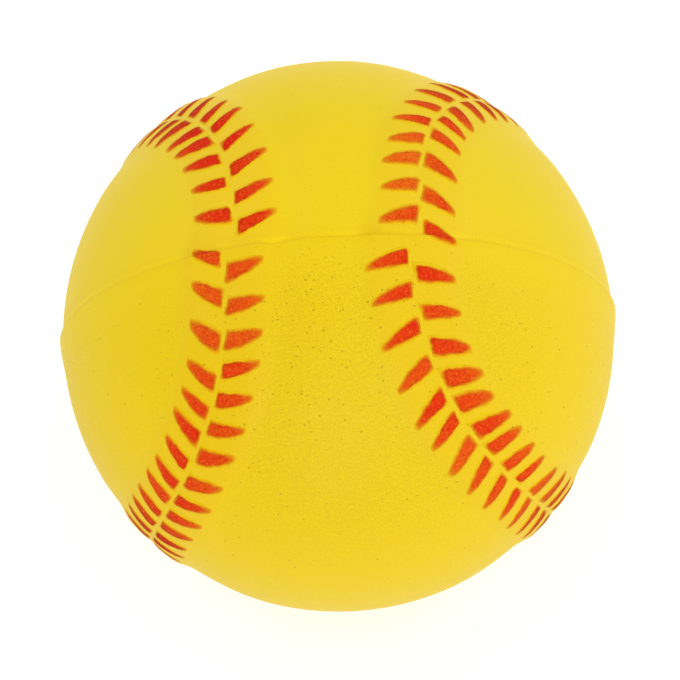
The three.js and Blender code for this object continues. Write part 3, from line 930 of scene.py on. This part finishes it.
    # A pad at each seat, square to the ball and in line with the seam, with a size of its own
    curve = net.add("GeometryNodeMeshToCurve", given["Path"]).outputs[0]
    seats = net.add("GeometryNodeCurveToPoints", curve, mode="EVALUATED")
    chosen_seats = net.add("GeometryNodeSeparateGeometry", seats.outputs["Points"], domain="POINT")
    net.set(chosen_seats, Selection=net.math("GREATER_THAN", stored("seat_size"), 0.0))
    tangents = keep(seats.outputs["Points"], "seam_heading", seats.outputs["Tangent"], "FLOAT_VECTOR")
    net.feed(chosen_seats.inputs[0], tangents)
    seat_place = net.add("GeometryNodeInputPosition").outputs[0]
    out_from_centre = net.vector_math("NORMALIZE", seat_place)
    against = net.math("MULTIPLY", given["Side"], -1.0)
    heading = net.vector_math("SCALE", stored("seam_heading", "FLOAT_VECTOR"), against)
    turn = net.math("MULTIPLY_ADD", stored("seat_turn"), against, random(-0.04, 0.04, 2))
    turned = net.add("ShaderNodeVectorRotate", rotation_type="AXIS_ANGLE")
    net.set(turned, Vector=heading, Axis=out_from_centre, Angle=turn)
    rotation = net.add("FunctionNodeAxesToRotation", primary_axis="Z", secondary_axis="X")
    net.feed(rotation.inputs[0], out_from_centre)
    net.feed(rotation.inputs[1], turned.outputs[0])
    wide = net.math("MULTIPLY", stored("seat_size"), random(0.96, 1.04, 3))
    long = net.math("MULTIPLY", stored("seat_reach"), random(0.97, 1.03, 4))
    scale = net.add("ShaderNodeCombineXYZ", wide, long, 1.0)
    ahead = turned.outputs[0]
    outer = net.vector_math("CROSS_PRODUCT", out_from_centre, ahead)
    placed = net.add("GeometryNodeInstanceOnPoints")
    net.set(
        placed, Points=chosen_seats.outputs[0], Instance=shaped.outputs[0],
        Rotation=rotation.outputs[0], Scale=scale.outputs[0],
    )
    marks = placed.outputs[0]
    ahead = net.vector_math("SCALE", ahead, net.math("DIVIDE", 1.0, wide))
    outer = net.vector_math("SCALE", outer, net.math("DIVIDE", 1.0, long))
    marks = keep(marks, "seat_place", seat_place, "FLOAT_VECTOR", "INSTANCE")
    marks = keep(marks, "mark_ahead", ahead, "FLOAT_VECTOR", "INSTANCE")
    marks = keep(marks, "mark_outer", outer, "FLOAT_VECTOR", "INSTANCE")
    marks = keep(marks, "mark_random", random(0.0, 1.0, 5), domain="INSTANCE")
    seat_height = net.math("ABSOLUTE", net.add("ShaderNodeSeparateXYZ", seat_place).outputs[1])
    crosses = net.math("LESS_THAN", seat_height, given["Crossing Reach"])
    marks = keep(marks, "mark_crosses", crosses, domain="INSTANCE")
    marks = net.add("GeometryNodeRealizeInstances", marks).outputs[0]

    # A mark seated close to the parting plane crosses it, on a pad with finer faces
    crosses = stored("mark_crosses")
    crossing = net.add("GeometryNodeSeparateGeometry", marks, domain="POINT")
    net.set(crossing, Selection=net.math("GREATER_THAN", crosses, 0.5))
    finer = net.add("GeometryNodeSubdivideMesh", crossing.outputs["Selection"], 2)
    together = net.add("GeometryNodeJoinGeometry", finer.outputs[0])
    net.tree.links.new(crossing.outputs["Inverted"], together.inputs[0])
    marks = together.outputs[0]

    # Lay every pad on the skin below it. Points that come close to the parting plane go to one
    # side of it, and only marks that cross it have points beyond.
    skins = net.add("GeometryNodeJoinGeometry")
    for name in ("Skin", "Facing Skin"):
        info = net.add("GeometryNodeObjectInfo", transform_space="RELATIVE")
        net.feed(info.inputs["Object"], given[name])
        net.tree.links.new(info.outputs["Geometry"], skins.inputs[0])
    where = net.add("ShaderNodeSeparateXYZ", net.add("GeometryNodeInputPosition").outputs[0])
    own = net.math("MULTIPLY", where.outputs[1], given["Half Side"])
    clearance = given["Parting Clearance"]
    own = net.math("MAXIMUM", own, net.math("MULTIPLY_ADD", crosses, -1.0, clearance))
    snap = net.math("MULTIPLY", given["Snap"], net.math("MULTIPLY_ADD", crosses, -0.75, 1.0))
    near = net.math("LESS_THAN", net.math("ABSOLUTE", own), snap)
    edge = net.math("MULTIPLY", net.math("SIGN", own), clearance)
    own = net.add("GeometryNodeSwitch", near, own, edge, input_type="FLOAT").outputs[0]
    where = net.add(
        "ShaderNodeCombineXYZ", where.outputs[0], net.math("MULTIPLY", own, given["Half Side"]),
        where.outputs[2],
    )
    outwards = net.vector_math("NORMALIZE", where.outputs[0])

    # The mark's own map: how far aside of its middle line each point is, and how far outward
    level = net.vector_math("DOT_PRODUCT", outwards, stored("seat_place", "FLOAT_VECTOR"))
    spread = net.math("DIVIDE", net.math("POWER", given["Ball Radius"], 2.0), level)
    ahead = net.vector_math("DOT_PRODUCT", outwards, stored("mark_ahead", "FLOAT_VECTOR"))
    outer = net.vector_math("DOT_PRODUCT", outwards, stored("mark_outer", "FLOAT_VECTOR"))
    outward = net.math("SUBTRACT", net.math("MULTIPLY", outer, spread), given["Root Gap"])
    lean = leaning(outward)
    aside = net.math("SUBTRACT", net.math("MULTIPLY", ahead, spread), lean)
    place = net.add("ShaderNodeCombineXYZ", aside, outward, 0.0).outputs[0]
    marks = keep(marks, "mark_place", place, "FLOAT_VECTOR")
    marks = keep(marks, "seam_distance", net.math("ADD", outward, given["Root Gap"]))

    # The ray starts outside the ball and ends a little below the skin, where a point that finds
    # no skin is left
    ray = net.add("GeometryNodeRaycast")
    ray_start = net.math("MULTIPLY", given["Ball Radius"], 1.1)
    ray_length = net.math("MULTIPLY", given["Ball Radius"], 0.13)
    net.set(
        ray, Target_Geometry=skins.outputs[0],
        Source_Position=net.vector_math("SCALE", outwards, ray_start),
        Ray_Direction=net.vector_math("SCALE", outwards, -1.0), Ray_Length=ray_length,
    )
    raised = net.vector_math("SCALE", outwards, stored("mark_rise"))
    lift = net.math("MULTIPLY", net.math("MULTIPLY", near, crosses), given["Crossing Lift"])
    lift = net.add("ShaderNodeCombineXYZ", 0.0, lift, 0.0).outputs[0]
    raised = net.vector_math("ADD", raised, lift)
    on_skin = net.vector_math("ADD", ray.outputs["Hit Position"], raised)
    missed = net.vector_math("SCALE", outwards, net.math("MULTIPLY", given["Ball Radius"], 0.985))
    is_hit = ray.outputs["Is Hit"]
    chosen = net.add("GeometryNodeSwitch", is_hit, missed, on_skin, input_type="VECTOR")
    laid = net.add("GeometryNodeSetPosition")
    net.set(laid, Geometry=marks, Position=chosen.outputs[0])
    smooth = net.add("GeometryNodeSetShadeSmooth", laid.outputs[0]).outputs[0]
    finished = net.add("GeometryNodeSetMaterial")
    net.set(finished, Geometry=smooth, Material=given["Finish"])
    net.feed(out["Marks"], finished.outputs[0])
    return tree


def mark_seats(row):
    """Distances along the seam, sizes and turns: the listed marks, and a steady pitch between."""
    first = np.cumsum(row["start"]) * MARK_PITCH
    last = (HALF_SEAM - np.cumsum(row["end"]) * MARK_PITCH)[::-1]
    intervals = round((last[0] - first[-1]) / MARK_PITCH)
    step = np.arange(1, intervals)
    between = first[-1] + (last[0] - first[-1]) * step / intervals
    between = between + MARK_WANDER * np.sin(step * step)
    sizes = 1.03 + 0.1 * np.sin(1.7 * step * step)
    alongs = np.concatenate((first, between, last))
    sizes = np.concatenate((row["start_sizes"], sizes, row["end_sizes"][::-1]))
    end_turns = np.where(alongs < HALF_SEAM / 2, row["start_turn"], row["end_turn"])
    from_end = np.minimum(alongs, HALF_SEAM - alongs) / MARK_PITCH
    return alongs, sizes, -end_turns * np.clip(3.2 - from_end, 0, 1)


def seam_path(half, places, sizes, turns):
    """The seam of one mould half as a chain of edges, with a vertex at each mark's seat."""
    stations = np.linspace(0, HALF_SEAM, PATH_SAMPLES)
    stations = stations[np.abs(stations[:, None] - places).min(axis=1) > SEAT_CLEARANCE]
    alongs = np.concatenate((stations, places))
    order = np.argsort(alongs)
    alongs = alongs[order]
    sizes = np.concatenate((np.zeros(len(stations)), sizes))[order]
    turns = np.concatenate((np.zeros(len(stations)), turns))[order]
    reaches = (1 + MARK_REACH_GAIN * (alongs / HALF_SEAM - 0.3)) * (0.8 + 0.2 * sizes)
    points = seam_point(np.interp(alongs, ARC_LENGTHS, ARC_TURNS)) * BALL_RADIUS
    mesh = bpy.data.meshes.new(f"{half}_seam_path")
    edges = [(i, i + 1) for i in range(len(points) - 1)]
    mesh.from_pydata((points @ half_matrix(half).T).tolist(), edges, [])
    for name, values in (("seat_size", sizes), ("seat_turn", turns), ("seat_reach", reaches)):
        attribute = mesh.attributes.new(name, "FLOAT", "POINT")
        attribute.data.foreach_set("value", values.astype(np.float32))
    return mesh


def make_mark_row(half, row, tree, skins, finish):
    """Grows one row's marks on its mould half and returns them as a plain mesh."""
    name = f"{half}_{row['panel']}_stitches"
    maker = bpy.data.objects.new(name + "_maker", seam_path(half, *mark_seats(row)))
    bpy.context.scene.collection.objects.link(maker)
    modifier = maker.modifiers.new("stitch_marks", "NODES")
    modifier.node_group = tree
    facing = "lower" if half == "upper" else "upper"
    values = {
        "Skin": skins[half], "Facing Skin": skins[facing], "Finish": finish,
        "Side": float(row["side"]), "Half Side": 1.0 if half == "upper" else -1.0,
        "Trail": row["trail"], "Seed": ROW_SEEDS[f"{half}_{row['panel']}"],
    }
    for item in tree.interface.items_tree:
        if item.in_out == "INPUT" and item.name in values:
            modifier[item.identifier] = values[item.name]
    graph = bpy.context.evaluated_depsgraph_get()
    mesh = bpy.data.meshes.new_from_object(maker.evaluated_get(graph))
    mesh.name = name
    bpy.data.objects.remove(maker)
    piece = bpy.data.objects.new(name + "_painted", mesh)
    bpy.context.scene.collection.objects.link(piece)
    return piece


# Stage

def make_floor(level):
    """A plain pale floor that goes white to the camera and keeps the ball's soft shadow."""
    mesh = bpy.data.meshes.new("floor")
    signs = ((-1, -1), (1, -1), (1, 1), (-1, 1))
    corners = [(x * FLOOR_HALF_SIZE, y * FLOOR_HALF_SIZE, level) for x, y in signs]
    mesh.from_pydata(corners, [], [(0, 1, 2, 3)])
    floor = bpy.data.objects.new("floor", mesh)
    bpy.context.scene.collection.objects.link(floor)
    material = bpy.data.materials.new("pale_floor")
    material.use_nodes = True
    material.node_tree.nodes.clear()
    net = Net(material.node_tree)
    paint = net.add("ShaderNodeBsdfDiffuse")
    paint.inputs["Color"].default_value = (0.86, 0.86, 0.86, 1)
    glow = net.add("ShaderNodeEmission")
    paths = net.add("ShaderNodeLightPath")
    seen = net.math("MAXIMUM", paths.outputs["Is Camera Ray"], paths.outputs["Is Glossy Ray"])
    flat = net.add("ShaderNodeTexCoord").outputs["Object"]
    far = net.ease(net.vector_math("LENGTH", flat), 0.2, 1.5, 0.3, 1.0)
    net.feed(glow.inputs["Strength"], net.math("MULTIPLY", seen, far))
    both = net.add("ShaderNodeAddShader", paint.outputs[0], glow.outputs[0])
    net.feed(net.add("ShaderNodeOutputMaterial").inputs["Surface"], both.outputs[0])
    mesh.materials.append(material)


def light_scene():
    """Soft, even studio light: a pale world and four broad lamps."""
    world = bpy.data.worlds.new("studio")
    bpy.context.scene.world = world
    world.use_nodes = True
    world.node_tree.nodes.clear()
    net = Net(world.node_tree)
    fill = net.add("ShaderNodeBackground", (1, 1, 1, 1), WORLD_FILL).outputs[0]
    backdrop = net.add("ShaderNodeBackground", (1, 1, 1, 1), 1.0).outputs[0]
    to_camera = net.add("ShaderNodeLightPath").outputs["Is Camera Ray"]
    choice = net.add("ShaderNodeMixShader", to_camera, fill, backdrop)
    net.feed(net.add("ShaderNodeOutputWorld").inputs["Surface"], choice.outputs[0])

    for name, place, power in LAMPS:
        data = bpy.data.lights.new(name, "AREA")
        data.shape = "DISK"
        data.size = LAMP_SIZE
        data.energy = power
        lamp = bpy.data.objects.new(name, data)
        lamp.location = place
        lamp.rotation_euler = Vector(place).to_track_quat("Z", "Y").to_euler()
        bpy.context.scene.collection.objects.link(lamp)


def place_camera():
    """The photograph's view, with the ball's outline at its measured size and place."""
    data = bpy.data.cameras.new("camera")
    camera = bpy.data.objects.new("camera", data)
    bpy.context.scene.collection.objects.link(camera)
    flat = math.cos(CAMERA_ELEVATION)
    away = Vector((
        math.sin(CAMERA_AZIMUTH) * flat, -math.cos(CAMERA_AZIMUTH) * flat, math.sin(CAMERA_ELEVATION),
    ))
    side = Vector((0, 0, 1)).cross(away).normalized()
    level = Matrix((side, away.cross(side), away)).transposed()
    turned = level @ Matrix.Rotation(CAMERA_ROLL, 3, "Z")
    camera.matrix_world = Matrix.Translation(away * CAMERA_DISTANCE) @ turned.to_4x4()
    data.sensor_width = SENSOR_WIDTH
    spread = math.sqrt((CAMERA_DISTANCE / BALL_RADIUS) ** 2 - 1)
    data.lens = SILHOUETTE_RADIUS_PIXELS * spread / IMAGE_SIZE * SENSOR_WIDTH
    data.shift_x = (IMAGE_SIZE / 2 - SILHOUETTE_CENTRE_PIXELS[0]) / IMAGE_SIZE
    data.shift_y = (SILHOUETTE_CENTRE_PIXELS[1] - IMAGE_SIZE / 2) / IMAGE_SIZE
    data.clip_start = 0.01
    bpy.context.scene.camera = camera


# Put the ball together

bpy.context.scene.view_settings.view_transform = "Standard"
skin_finish = moulded_skin_group()
sprayed = sprayed_mark_group()
skin_yellow = skin_material(skin_finish)
mark_red = mark_material(skin_finish, sprayed)
row_tree = mark_row_tree()

core = make_core(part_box("foam_core")[1].z)
core.data.materials.append(foam_material())
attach(core, "root")
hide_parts("foam_core")

skins = {}
for half in ("upper", "lower"):
    skins[half] = make_skin(half)
    skins[half].data.materials.append(skin_yellow)
    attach(skins[half], "root")
    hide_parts(f"{half}_skin")

for half in ("upper", "lower"):
    for row in ROWS:
        marks = make_mark_row(half, row, row_tree, skins, mark_red)
        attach(marks, "root")
        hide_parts(f"{half}_{row['panel']}_stitches")

make_floor(cad_bounds[0][2])
light_scene()
place_camera()
